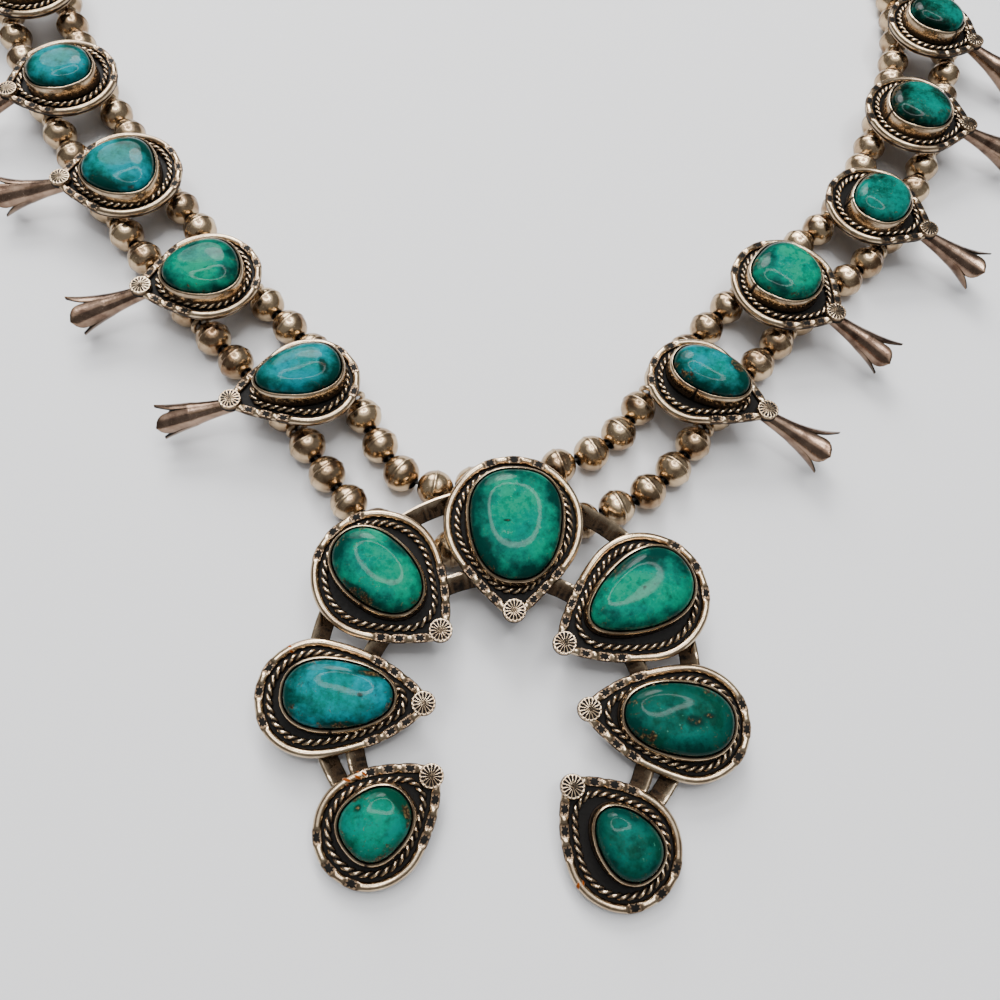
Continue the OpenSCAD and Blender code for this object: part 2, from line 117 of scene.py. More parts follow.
# Settings on the naja: name, bearing, reach, turn, head, tip, fullness, then the stone's length,
# width, taper and squareness, and how far it sits towards the tip and to the left of that
NAJA_SETTINGS = [
    ("top", 90, 0.79, 3, 1.15, 1.17, 4, 0.88, 0.92, 0.12, 0.86, -0.6, 0.2),
    ("upper_left", 145.5, 0.83, -4, 1.06, 1.10, 2.5, 0.85, 0.75, 0.06, 0.92, -1.2, 0.1),
    ("middle_left", 190, 0.95, -10, 0.90, 1.32, 2, 0.81, 0.91, 0.16, 0.90, 0.2, 0.4),
    ("lower_left", 231.5, 0.97, -8, 0.85, 0.95, 2, 0.72, 0.93, 0.10, 0.86, 0, 0.1),
    ("upper_right", 32.5, 0.83, 1, 1.05, 1.23, 2.5, 0.87, 0.81, 0.28, 0.96, -1.2, -0.6),
    ("middle_right", -11, 0.96, 7, 0.91, 1.29, 2, 0.84, 0.96, 0.08, 0.90, -0.8, -0.2),
    ("lower_right", -52.5, 0.99, 6, 0.89, 0.95, 2, 0.74, 0.78, 0.18, 0.94, -0.6, -0.8),
]

# Blossoms: name, side, place in the row, turn, head, tip, fullness, then the same of the stone
BLOSSOMS = [
    ("left_1", -1, 1, -19, 0.87, 1.11, 4, 0.86, 0.89, 0.24, 0.94, -0.9, -0.8),
    ("left_2", -1, 2, -23, 0.95, 0.98, 4, 0.84, 0.96, 0.22, 0.94, -0.1, 0.4),
    ("left_3", -1, 3, -24, 1.04, 0.98, 4, 0.78, 0.94, 0.24, 0.92, 0.2, 0.8),
    ("left_4", -1, 4, -2, 1.03, 0.92, 4, 0.77, 0.79, 0.06, 0.88, 0.2, 0.5),
    ("left_5", -1, 5, 4, 1.00, 0.92, 4, 0.83, 0.90, 0.12, 0.94, 0, 0),
    ("right_1", 1, 1, 12, 0.88, 1.10, 4, 0.82, 0.83, 0.08, 0.92, -0.3, 1.0),
    ("right_2", 1, 2, 5, 1.04, 0.92, 4, 0.79, 0.92, 0.12, 0.86, -0.6, 0),
    ("right_3", 1, 3, 3, 0.98, 0.96, 4, 0.67, 0.96, 0.02, 0.88, 0.1, -0.5),
    ("right_4", 1, 4, 6, 1.08, 0.92, 4, 0.78, 0.85, 0.04, 0.92, 0, -0.8),
    ("right_5", 1, 5, -20, 0.99, 0.85, 4, 0.81, 0.84, 0.04, 0.92, 0, 0),
]


# The camera, as fitted to the photograph

CAMERA_TILT = math.radians(25.107)
CAMERA_ROLL = math.radians(9.027)
CAMERA_YAW = math.radians(5.661)
CAMERA_HEIGHT = 148.56
CAMERA_BACK = (-4.265, -46.587)
SENSOR_W = 36.0
FOCAL = 33.264


def add_camera():
    away = Matrix.Rotation(-CAMERA_YAW, 3, "Z")
    right = Vector((1, 0, 0))
    up = Vector((0, math.cos(CAMERA_TILT), math.sin(CAMERA_TILT)))
    back = Vector((0, -math.sin(CAMERA_TILT), math.cos(CAMERA_TILT)))
    image_x = right * math.cos(CAMERA_ROLL) + up * math.sin(CAMERA_ROLL)
    image_y = up * math.cos(CAMERA_ROLL) - right * math.sin(CAMERA_ROLL)
    turned = Matrix((away @ image_x, away @ image_y, away @ back)).transposed()
    place = away @ Vector((*CAMERA_BACK, CAMERA_HEIGHT)) + Vector((*ORIGIN_SHIFT, 0))
    data = bpy.data.cameras.new("camera")
    data.sensor_width = SENSOR_W
    data.lens = FOCAL
    data.clip_start = 0.005
    camera = bpy.data.objects.new("camera", data)
    camera.matrix_world = Matrix.Translation(place * MM) @ turned.to_4x4()
    bpy.context.scene.collection.objects.link(camera)
    bpy.context.scene.camera = camera


# Moves, as 4 x 4 matrices

def move(x, y, z=0.0):
    matrix = np.eye(4)
    matrix[:3, 3] = (x, y, z)
    return matrix


def turn(degrees, axis="Z"):
    return np.array(Matrix.Rotation(math.radians(degrees), 4, axis))


class Shape:
    """Gathers grids of points into one mesh. Each point has a value of grime and painted shade: 1 black, 0
    clean, -1 rust.
    """

    def __init__(self):
        self.points = []
        self.faces = []
        self.grime_and_shade = []
        self.materials = []
        self.count = 0

    def grid(self, points, grime_and_shade=0.0, place=None, wrap=(True, True), caps=False, material=0):
        rows, columns = points.shape[:2]
        flat = points.reshape(-1, 3)
        if place is not None:
            flat = flat @ place[:3, :3].T + place[:3, 3]
        index = np.arange(rows * columns).reshape(rows, columns) + self.count
        down = np.vstack([index, index[:1]]) if wrap[0] else index
        both = np.hstack([down, down[:, :1]]) if wrap[1] else down
        quads = np.stack([both[:-1, :-1], both[1:, :-1], both[1:, 1:], both[:-1, 1:]], -1)
        faces = quads.reshape(-1, 4).tolist()
        if caps:
            faces.append(index[0].tolist())
            faces.append(index[-1][::-1].tolist())
        self.points.append(flat)
        self.grime_and_shade.append(np.broadcast_to(grime_and_shade, (rows, columns)).reshape(-1))
        self.faces += faces
        self.materials += [material] * len(faces)
        self.count += rows * columns

    def build(self, name, materials, smooth_below=42.0):
        mesh = bpy.data.meshes.new(name)
        points = np.vstack(self.points)
        mesh.from_pydata((points * MM).tolist(), [], self.faces)
        mesh.polygons.foreach_set("material_index", self.materials)
        mesh.polygons.foreach_set("use_smooth", [True] * len(self.faces))
        dirt = mesh.attributes.new("grime_and_shade", "FLOAT", "POINT")
        dirt.data.foreach_set("value", np.concatenate(self.grime_and_shade).astype(np.float32))
        edit = bmesh.new()
        edit.from_mesh(mesh)
        bmesh.ops.recalc_face_normals(edit, faces=edit.faces)
        edit.to_mesh(mesh)
        edit.free()
        mesh.set_sharp_from_angle(angle=math.radians(smooth_below))
        for look in materials:
            mesh.materials.append(look)
        piece = bpy.data.objects.new(name, mesh)
        bpy.context.scene.collection.objects.link(piece)
        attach(piece, "root")
        return piece


def smoothstep(low, high, value):
    t = np.clip((value - low) / (high - low), 0, 1)
    return t * t * (3 - 2 * t)


# Outlines and what runs along them

def arc(x, y, radius, start, finish, count):
    a = np.linspace(start, finish, count, endpoint=False)
    return np.stack([x + radius * np.cos(a), y + radius * np.sin(a)], 1)


def teardrop(r, tip, fullness, inset, tip_r):
    """Outline of a setting, round end at the origin and tip along +X, drawn in by an inset."""
    big = fullness * (r + tip) / 2
    x = (r * r - 2 * big * r + tip * tip) / (2 * tip)
    y = -math.sqrt((big - r) ** 2 - x * x)
    start = math.atan2(-y, -x)
    reach = big - inset - tip_r
    finish = math.asin(-y / reach)
    tip_x = x + math.sqrt(reach * reach - y * y)
    half = np.vstack([
        arc(0, 0, r - inset, math.pi, start, 80),
        arc(x, y, big - inset, start, finish, 80),
        arc(tip_x, 0, tip_r, finish, 0, 12),
        [(tip_x + tip_r, 0)],
    ])
    return np.vstack([half, half[-2:0:-1] * (1, -1)])


def stone_outline(size, grow, count=96):
    length, width, taper, power = size
    a = np.linspace(0, 2 * math.pi, count, endpoint=False)
    c = np.sign(np.cos(a)) * np.abs(np.cos(a)) ** power
    s = np.sign(np.sin(a)) * np.abs(np.sin(a)) ** power
    return np.stack([(length / 2 + grow) * c, (width / 2 + grow) * s * (1 - taper * c)], 1)


def along(outline, count):
    """Even points on a closed outline: distance along it, the point, its outward side, and the total."""
    closed = np.vstack([outline, outline[:1]])
    distance = np.concatenate([[0], np.cumsum(np.linalg.norm(np.diff(closed, axis=0), axis=1))])
    s = np.linspace(0, distance[-1], count, endpoint=False)
    p = np.stack([np.interp(s, distance, closed[:, k]) for k in (0, 1)], 1)
    way = np.roll(p, -1, 0) - np.roll(p, 1, 0)
    side = np.stack([-way[:, 1], way[:, 0]], 1) / np.linalg.norm(way, axis=1)[:, None]
    area = np.sum(p[:, 0] * np.roll(p[:, 1], -1) - np.roll(p[:, 0], -1) * p[:, 1])
    return s, p, side * (-1 if area > 0 else 1), distance[-1]


def swept(p, side, out, up):
    """A grid of points beside a line: out and up are distances for each point of the profile."""
    out = np.broadcast_to(out, (len(p), np.shape(out)[-1]))
    flat = p[:, None] + side[:, None] * out[..., None]
    return np.dstack([flat, np.broadcast_to(up, out.shape)])


# The parts of a setting

STAMP_STEP = 4.4
STAMP_FROM_BUTTON = 1.8
TIP_STAMP_STEP = 3.0
STAMP_R = 0.95
STAMP_CORE = 0.56
STAMP_POINTS = 9
STAMP_HALF_W = 0.72
RIM_STEP = 0.25
RIM_HALF_W = 0.69
RIM_BASE_Z = 0.92
RIM_TOP = 0.76
PRESSED_Z = 1.38
PRESSED_SPREAD = 0.10
PRESSED_FROM = 1.40
PRESSED_WHOLLY = 0.85
ROPE_LAY = 2.8
ROPE_HELIX_R = 0.23
ROPE_STRAND_R = 0.34
ROPE_TURN = 0.95
ROPE_TURN_LESS = 0.28
BUTTON_SHARE = 0.9
BUTTON_RAYS = 15
RAY_POINTS = 8
RAY_DEPTH = 0.1

# A stamped star from its middle to its rim: share of its radius, and height over the wire
STAMP_LAYERS = [(0.05, 0.02), (0.4, 0.02), (0.75, 0.025), (1.0, 0.025), (1.0, -0.15)]

# A button from its middle to its back: share of its radius, height, depth of the rays, and grime
BUTTON_PROFILE = np.array([
    (0.03, 0.14, 0.8, 0.5), (0.12, 0.14, 0.9, 0.3), (0.3, 0.13, 1, 0.16), (0.5, 0.11, 1, 0.12),
    (0.7, 0.07, 1, 0.12), (0.80, 0.03, 0.9, 0.12), (0.86, 0.03, 0.1, 0.15), (0.95, 0, 0, 0.05),
    (1, -0.12, 0, 0.3), (1, -1.3, 0, 1), (0.03, -1.3, 0, 1),
])

# Rust on the edge wires: share of the way round from the middle of the round end, half length
RUST = {
    "lower_left": [(0.255, 0.6), (0.285, 0.45), (0.305, 0.4)],
    "middle_left": [(0.13, 0.35)],
    "lower_right": [(0.24, 0.5)],
}


def stamp_places(length, rng):
    """Three stamps round the middle of the round end and three on each side of the button."""
    head = [STAMP_STEP * k + rng.uniform(-0.4, 0.4) for k in (-1, 0, 1)]
    tip = [
        length / 2 + way * (BUTTON_D / 2 + STAMP_FROM_BUTTON + TIP_STAMP_STEP * k) + rng.uniform(-0.2, 0.2)
        for way in (-1, 1) for k in (0, 1, 2)
    ]
    return np.mod(head + tip, length)


def rim_level(out):
    """Height of the smooth wire's surface at a distance to the side of its middle."""
    half = RIM_HALF_W * (1 + PRESSED_SPREAD)
    return RIM_BASE_Z + RIM_TOP * np.sqrt(np.clip(1 - (out / half) ** 2, 0, 1))


def rim_profile():
    """The wire's section, from its outer foot over its top to its inner foot, as out and up."""
    a = np.linspace(0, math.pi, 15)
    out = np.concatenate([[0.38, 0.40, 0.55], RIM_HALF_W * np.cos(a), [-0.62]])
    up = np.concatenate([[0.0, 0.45, 0.55], RIM_BASE_Z + RIM_TOP * np.sin(a), [0.0]])
    return out, up


def rim_grime_and_shade(height, out, up, press):
    """Black towards the rope and under the wire, browned on its flanks as painted shade, and a little dull
    where it is pressed.
    """
    inner = smoothstep(1.25, 0.85, height) * (out < 0)
    outer = 0.75 * smoothstep(0.85, 0.45, height) * (out > 0) * (up > 0.3)
    # Painted shade: the flanks turn brown below the wire's top
    flank = 0.22 * smoothstep(1.5, 1.1, height)
    return np.clip(inner + outer + flank + 0.40 * press, 0, 1)


def rim(shape, r, tip, fullness, rust, place, rng):
    """The smooth wire round the edge, pressed flat where each star is stamped."""
    outline = teardrop(r, tip, fullness, RIM_D / 2, RIM_TIP_R)
    count = int(along(outline, 8)[3] / RIM_STEP)
    s, p, side, length = along(outline, count)
    stamps = stamp_places(length, rng)
    apart = np.abs(s[:, None] - stamps[None])
    apart = np.minimum(apart, length - apart)
    press = smoothstep(PRESSED_FROM, PRESSED_WHOLLY, apart).max(1)[:, None]
    out, up = rim_profile()
    wave = 0.03 * np.sin(2 * math.pi * 7 * s / length + rng.uniform(0, 6))[:, None]
    height = up - press * np.maximum(up - PRESSED_Z, 0) + wave * (1 - press) * (up > 1)
    width = out * (1 + PRESSED_SPREAD * press) + wave
    grime_and_shade = rim_grime_and_shade(height, out, up, press)
    for share, half_length in rust:
        spot = np.exp(-(((s - share * length) / half_length) ** 2))[:, None]
        patchy = spot * (0.55 + 0.45 * np.sin(5 * s[:, None] + 6 * out))
        grime_and_shade = np.where((patchy > 0.25) & (height > 0.9), -0.8 * patchy, grime_and_shade)
    shape.grid(swept(p, side, width, height), grime_and_shade, place)
    for stamp in stamps:
        x, y = (np.interp(stamp, s, p[:, k], period=length) for k in (0, 1))
        ahead = [np.interp(stamp + 0.3, s, p[:, k], period=length) for k in (0, 1)]
        heading = math.degrees(math.atan2(ahead[1] - y, ahead[0] - x))
        star(shape, place @ move(x, y) @ turn(heading), rng)


def star(shape, place, rng):
    """A black stamp with nine points that lies on the pressed wire and bends down at its edges."""
    points_round = 2 * STAMP_POINTS
    a = np.linspace(0, 2 * math.pi, points_round, endpoint=False)
    long_points = STAMP_R * rng.uniform(0.86, 1.06, points_round)
    radius = np.where(np.arange(points_round) % 2, STAMP_CORE * STAMP_R, long_points)
    around = a + math.radians(rng.uniform(-12, 12))
    layers = []
    for share, lift in STAMP_LAYERS:
        x = share * radius * np.cos(around)
        y = np.clip(share * radius * np.sin(around), -STAMP_HALF_W, STAMP_HALF_W)
        layers.append(np.stack([x, y, np.minimum(rim_level(y), PRESSED_Z) + lift], 1))
    shape.grid(np.stack(layers), 1.0, place, wrap=(False, True), caps=True)


def rope_line(r, tip):
    """How far in the rope runs, and the radius of its turn before the button, less at a long tip."""
    inset = RIM_D + CHANNEL_W + ROPE_D / 2
    return inset, (r - inset) * (ROPE_TURN - ROPE_TURN_LESS * tip / r)


def rope(shape, r, tip, fullness, place):
    """Two wires twisted together, bright where they stand out and black in between."""
    outline = teardrop(r, tip, fullness, *rope_line(r, tip))
    turns = round(along(outline, 8)[3] / ROPE_LAY)
    s, p, side, length = along(outline, 16 * turns)
    lay = -2 * math.pi * turns * s / length
    b = np.linspace(0, 2 * math.pi, 9, endpoint=False)
    middle = PLATE_T - OVERLAP + ROPE_HELIX_R + ROPE_STRAND_R
    for phase in (0, math.pi):
        out = ROPE_HELIX_R * np.cos(lay + phase)[:, None] + ROPE_STRAND_R * np.cos(b)
        up = ROPE_HELIX_R * np.sin(lay + phase)[:, None] + ROPE_STRAND_R * np.sin(b)
        proud = np.hypot(out, up)
        grime_and_shade = np.clip(smoothstep(0.50, 0.38, proud) + smoothstep(0.20, -0.12, up), 0, 1)
        shape.grid(swept(p, side, out, up + middle), grime_and_shade, place)


def plate(shape, r, tip, fullness, place):
    p = along(teardrop(r, tip, fullness, RIM_D / 3, RIM_TIP_R), 120)[1]
    middle = np.array([(tip - r) / 2, 0])
    rings = [(0.02, PLATE_T), (1, PLATE_T), (1, 0), (0.02, 0)]
    points = np.stack([
        np.column_stack([middle + (p - middle) * k, np.full(len(p), z)]) for k, z in rings
    ])
    grime_and_shade = np.array([[1.0], [1.0], [0.3], [0.3]])
    shape.grid(points, grime_and_shade, place, wrap=(False, True), caps=True)


def bezel(shape, size, height, place, rng):
    """The tall collar round a stone, its edge pushed in over the stone, with one upright seam."""
    s, p, side, length = along(stone_outline(size, STONE_GAP), 140)
    out = np.array([0.72, 0.68, 0.58, 0.46, 0.32, 0.16, 0.04, 0.05, 0.05])
    up = np.array([-0.1, 0.6, height - 0.9, height - 0.28, height - 0.06, height,
                   height - 0.08, height - 0.7, 0.0])
    turn_at = 2 * math.pi * s / length
    wave = 0.05 * np.sin(3 * turn_at + rng.uniform(0, 6))
    wave = wave + 0.04 * np.sin(7 * turn_at + rng.uniform(0, 6))
    seam = np.exp(-(((s - rng.uniform(0.55, 0.95) * length) / 0.22) ** 2))
    edge = np.array([0, 0, 0.2, 1, 1, 1, 1, 0.3, 0])
    z = PLATE_T + up + (wave - 0.06)[:, None] * edge
    lip = out - 0.1 * seam[:, None] * (out > 0.3)
    grime_and_shade = np.array([1, 0.6, 0.26, 0.22, 0.16, 0.10, 0.8, 1, 1]) + 0.8 * seam[:, None]
    shape.grid(swept(p, side, lip, z), np.clip(grime_and_shade, 0, 1), place)


def button(shape, place, rng):
    """A small domed disc with a ray pattern cut into it, inside a narrow smooth edge."""
    a = np.linspace(0, 2 * math.pi, RAY_POINTS * BUTTON_RAYS, endpoint=False)
    turned = BUTTON_RAYS * a + rng.uniform(0, 6)
    depth = np.repeat(rng.uniform(0.7, 1.0, BUTTON_RAYS), RAY_POINTS)
    ray = smoothstep(-0.70, 0.10, np.cos(turned)) * depth
    share, level, deep, stain = BUTTON_PROFILE.T[..., None]
    radii = share * BUTTON_SHARE * BUTTON_D / 2
    cut = deep * ray
    top = PLATE_T + BUTTON_H - RAY_DEPTH
    points = np.stack([radii * np.cos(a), radii * np.sin(a), top + level - RAY_DEPTH * cut], -1)
    shape.grid(points, np.clip(cut + stain, 0, 1), place, wrap=(False, True), caps=True)


def setting_sizes(spec):
    """A row of the tables as sizes: head, tip and fullness, then the stone's size and its middle."""
    head, reach, fullness, long, wide, taper, squareness, ahead, aside = spec[4:]
    r, tip = HEAD_R * head, TIP_L * reach
    length = (r + tip - 2 * BORDER) * long
    width = (2 * r - 2 * BORDER) * wide
    middle = (tip - r) / 2 - BUTTON_D / 4 + ahead, aside
    return r, tip, fullness, (length, width, taper, squareness), middle


def setting(shape, spec, height, place, rng):
    r, tip, fullness, size, middle = setting_sizes(spec)
    plate(shape, r, tip, fullness, place)
    rim(shape, r, tip, fullness, RUST.get(spec[0], []), place, rng)
    rope(shape, r, tip, fullness, place)
    bezel(shape, size, height, place @ move(*middle), rng)
    button(shape, place @ move(tip - BUTTON_BACK, 0), rng)


# The stones

STONE_RINGS = 22
STONE_UNDER = 0.02
STONE_LUMP = 0.05

# Dark blots in the stones: x, y, reach in x and reach in y from the stone's middle, tip along +X
BLOTS = {
    "top": [(0.1, -1.6, 0.3, 0.6)],
    "upper_left": [(0.6, -5.2, 2.6, 0.9)],
    "middle_left": [(3.4, 0.0, 0.35, 0.3), (4.6, 3.4, 1.9, 0.5), (1.0, -4.6, 2.4, 0.5)],
    "lower_left": [(-0.6, 3.3, 0.5, 0.4), (4.4, -1.8, 0.7, 1.6)],
    "upper_right": [(-0.4, -0.2, 0.5, 0.5), (1.5, -4.8, 2.0, 0.4)],
    "middle_right": [(-1.7, 0.2, 1.6, 0.9), (-4.0, -0.8, 0.9, 0.5), (5.6, 3.2, 1.6, 0.7)],
    "left_1": [(-4.2, 1.2, 0.5, 1.2)],
    "right_1": [(4.0, 2.2, 1.6, 1.0)],
}


def stone(shape, spec, height, place, rng):
    """A polished dome that fills its bezel. Its grime and shade value is 1 at the edge, where the material
    paints shade, and above 1 in a blot.
    """
    size, middle = setting_sizes(spec)[3:]
    outline = stone_outline(size, -STONE_UNDER)
    shares = 1 - np.linspace(0, 1, STONE_RINGS) ** 2
    foot = height - STONE_GAP
    levels = foot + (DOME_H + STONE_GAP) * np.sqrt(1 - shares ** 3)
    shares = np.concatenate([[0.02, 1], shares[:-1], [0.012]])
    levels = np.concatenate([[STONE_GAP, STONE_GAP], levels[:-1], [height + DOME_H]])
    oval = stone_outline((size[0], size[1], 0, 1), -STONE_UNDER)
    near_edge = np.clip(shares, 0, 1)[:, None, None] ** 2
    flat = (oval + (outline - oval) * near_edge) * shares[:, None, None]
    phase = rng.uniform(0, 6, 4)
    lump = (np.sin(0.24 * flat[..., 0] + phase[0]) * np.sin(0.30 * flat[..., 1] + phase[1])
            + 0.3 * np.sin(0.5 * flat[..., 0] + phase[2]) * np.sin(0.5 * flat[..., 1] + phase[3]))
    proud = smoothstep(foot, foot + DOME_H, levels)[:, None]
    z = PLATE_T + levels[:, None] + STONE_LUMP * (lump - 0.7) * proud
    # Painted shade: 1 at the stone's edge down to 0 in its middle, which the material darkens
    grime_and_shade = shares[:, None] * np.ones(len(outline))
    for x, y, reach_x, reach_y in BLOTS.get(spec[0], []):
        blot = np.exp(-((flat[..., 0] - x) / reach_x) ** 2 - ((flat[..., 1] - y) / reach_y) ** 2)
        grime_and_shade += (1.7 - grime_and_shade) * blot
    shape.grid(np.dstack([flat, z]), grime_and_shade, place @ move(*middle), wrap=(False, True), caps=True)


# The two strands, which follow the route on both sides

def smooth_route(steps=12):
    points = []
    for i in range(len(ROUTE)):
        p0, p1, p2, p3 = (ROUTE[(i + k) % len(ROUTE)] for k in (-1, 0, 1, 2))
        for k in range(steps):
            t = k / steps
            points.append(0.5 * (2 * p1 + (p2 - p0) * t + (2 * p0 - 5 * p1 + 4 * p2 - p3) * t * t
                                 + (3 * p1 - p0 - 3 * p2 + p3) * t ** 3))
    return np.array(points)


def running(points):
    closed = np.vstack([points, points[:1]])
    return np.concatenate([[0], np.cumsum(np.linalg.norm(np.diff(closed, axis=0), axis=1))])


RAW = smooth_route()
MIDDLE = RAW[:, :2] * LOOP_L / running(RAW[:, :2])[-1]
MIDDLE_RUN = running(MIDDLE)


class Strand:
    """One strand: outside the route (1), inside it (-1) or along its middle (0)."""

    def __init__(self, side):
        way = np.roll(MIDDLE, -1, 0) - np.roll(MIDDLE, 1, 0)
        outward = np.stack([-way[:, 1], way[:, 0]], 1) / np.linalg.norm(way, axis=1)[:, None]
        points = MIDDLE + side * RAW[:, 2:] * STRAND_GAP / 2 * outward
        self.run = running(points)
        self.closed = np.vstack([points, points[:1]])
        self.length = self.run[-1]

    def at(self, s):
        return np.array([np.interp(s % self.length, self.run, self.closed[:, k]) for k in (0, 1)])

    def heading(self, s):
        d = self.at(s + 0.5) - self.at(s - 0.5)
        return math.degrees(math.atan2(d[1], d[0]))

    def beside(self, m):
        """Distance along this strand beside a distance along the middle."""
        whole, rest = divmod(m, LOOP_L)
        return whole * self.length + np.interp(rest, MIDDLE_RUN, self.run)

    def place(self, s, z):
        x, y = self.at(s) + ORIGIN_SHIFT
        return move(x, y, z) @ turn(self.heading(s))


OUTER = Strand(1)
INNER = Strand(-1)
CENTRE = Strand(0)


def span(count):
    return count * BEAD_PITCH + BEAD_PLAY + BEND_PLAY + LOOP_WIRE


LOOP_HALF = span(BEADS_UNDER) / 2
BLOSSOM_PITCH = span(BEADS_UNDER) + span(BEADS_BETWEEN)


def blossom_at(side, place):
    return -side * (FIRST_BLOSSOM + (place - 1) * BLOSSOM_PITCH) + NAJA_SLIP


def packed(start, end, count):
    way = math.copysign(1, end - start)
    first = LOOP_WIRE / 2 + BEAD_PLAY + BEAD_D / 2
    return [end - way * (first + i * PACKED_PITCH) for i in range(count)]


def spread(start, end, count):
    return [start + (end - start) * (i + 0.5) / count for i in range(count)]


def room(start, end):
    return int((abs(end - start) - LOOP_WIRE - BEAD_PLAY) // PACKED_PITCH)


def side_beads(strand, side):
    """Bead centres on one side of the naja, as distances along the strand."""
    way = -side
    last = len(BLOSSOMS) // 2
    half = way * LOOP_WIRE / 2

    def gate(place, end):
        return strand.beside(blossom_at(side, place) + end * way * LOOP_HALF)

    start = strand.beside(0)
    first = gate(1, -1)
    back_from = gate(last, 1)
    back_to = strand.beside(way * (LOOP_L / 2 - CLASP_L / 2))
    found = packed(start, first, room(start, first))
    for p in range(1, last + 1):
        found += spread(gate(p, -1) + half, gate(p, 1) - half, BEADS_UNDER)
    for p in range(1, last):
        found += spread(gate(p, 1) + half, gate(p + 1, -1) - half, BEADS_BETWEEN)
    return found + spread(back_from + half, back_to, room(back_from, back_to))


# Half the angle of the seam on a bead, in radians, how deep the lip of its hole goes, and its points
SEAM_ANGLE = 0.09
LIP = 0.25
HALF_BEAD_POINTS = 11


def bead(shape, place, rng):
    """A round hollow bead: a raised seam round its middle and a small lip at each hole."""
    r = BEAD_D / 2
    bore = BEAD_BORE / 2 - 0.02
    end = math.asin(BEAD_BORE / 2 / r)
    half = HALF_BEAD_POINTS
    polar = np.concatenate([np.linspace(end, math.pi / 2 - SEAM_ANGLE, half),
                            np.linspace(math.pi / 2 + SEAM_ANGLE, math.pi - end, half)])
    x = -r * np.cos(polar)
    radius = r * np.sin(polar)
    seam_x = [-0.21, -0.08, 0.08, 0.21]
    seam_r = [r + 0.2 * SEAM_RISE, r + SEAM_RISE, r + SEAM_RISE, r + 0.2 * SEAM_RISE]
    x = np.concatenate([[x[0] + LIP], x[:half], seam_x, x[half:], [x[-1] - LIP]])
    radius = np.concatenate([[bore], radius[:half], seam_r, radius[half:], [bore]])
    grime_and_shade = 0.9 * smoothstep(1.5, 1.0, radius) + 0.35 * np.exp(-((np.abs(x) - 0.3) / 0.1) ** 2)
    a = np.linspace(0, 2 * math.pi, 34, endpoint=False) + rng.uniform(0, 1)
    points = np.stack([np.broadcast_to(x, (len(a), len(x))), np.outer(np.cos(a), radius),
                       np.outer(np.sin(a), radius)], -1)
    shape.grid(points, np.clip(grime_and_shade, 0, 1), place)


def strand_of_beads(name, strand, rng):
    shape = Shape()
    for side in (-1, 1):
        for s in side_beads(strand, side):
            bead(shape, strand.place(s, BEAD_Z), rng)
    return shape.build(f"silver_{name}", [bead_silver])


# Loops, stems and bars of round wire

def tube(shape, start, end, radius, grime_and_shade=0.4):
    start, end = np.array(start, float), np.array(end, float)
    way = Vector(end - start)
    place = move(*start) @ np.array(way.to_track_quat("Z", "Y").to_matrix().to_4x4())
    a = np.linspace(0, 2 * math.pi, 12, endpoint=False)
    ends = np.array([[0], [way.length]])
    ones = np.ones((2, len(a)))
    points = np.stack([ones * radius * np.cos(a), ones * radius * np.sin(a), ones * ends], -1)
    shape.grid(points, grime_and_shade, place, wrap=(False, True), caps=True)


def ring(shape, place):
    """A ring of wire round the thread, which runs along X."""
    a = np.linspace(0, 2 * math.pi, 28, endpoint=False)[:, None]
    b = np.linspace(0, 2 * math.pi, 10, endpoint=False)[None]
    radius = RING_R + LOOP_WIRE / 2 * np.cos(b)
    x = LOOP_WIRE / 2 * np.sin(b) * np.ones_like(a)
    points = np.stack([x, radius * np.cos(a), radius * np.sin(a)], -1)
    shape.grid(points, 0.15, place)


# A blossom's flower: a flared tube of sheet cut into four pointed petals

SPLIT = 0.52
PETAL_ROOT = 0.03
PETAL_ACROSS = 11
CONE_STEPS = 11
SEAM_BEARING = 1.1
FLOWER_STATIONS = [0, 0.3, 0.55, 0.78, 1]
FLOWER_RADII = [NECK_R, 1.3 * NECK_R, 0.5 * PETAL_R, 0.69 * PETAL_R, PETAL_R]
FLOWER_CURVE = np.polyfit(FLOWER_STATIONS, FLOWER_RADII, 3)
DROOP = math.degrees(math.asin((PLATE_Z - PETAL_R) / FLOWER_L))

# Petals: direction in degrees round the flower from the one that faces the camera, half width in
# degrees, how far it bends out, its reach, how blunt its end is
PETALS = [
    (0, 51, 0.52, 0.98, 7.0),
    (90, 40, 0.82, 1.0, 2.2),
    (180, 49, 0.65, 0.95, 3.0),
    (-90, 40, 0.70, 1.0, 2.4),
]
FACING = 57

# Flowers as they were bent: turn to the side and roll, in degrees, and how far open the mouth is
FLOWERS = {
    "left_1": (-11, -14, 0.45), "left_2": (-1, -18, 0.85), "left_3": (-8, -10, 1.0),
    "left_4": (0, -10, 1.0), "left_5": (0, 0, 1.0), "right_1": (1, 0, 1.2),
    "right_2": (8, -14, 0.95), "right_3": (6, -4, 1.1), "right_4": (0, 0, 1.0), "right_5": (0, 0, 1.0),
}


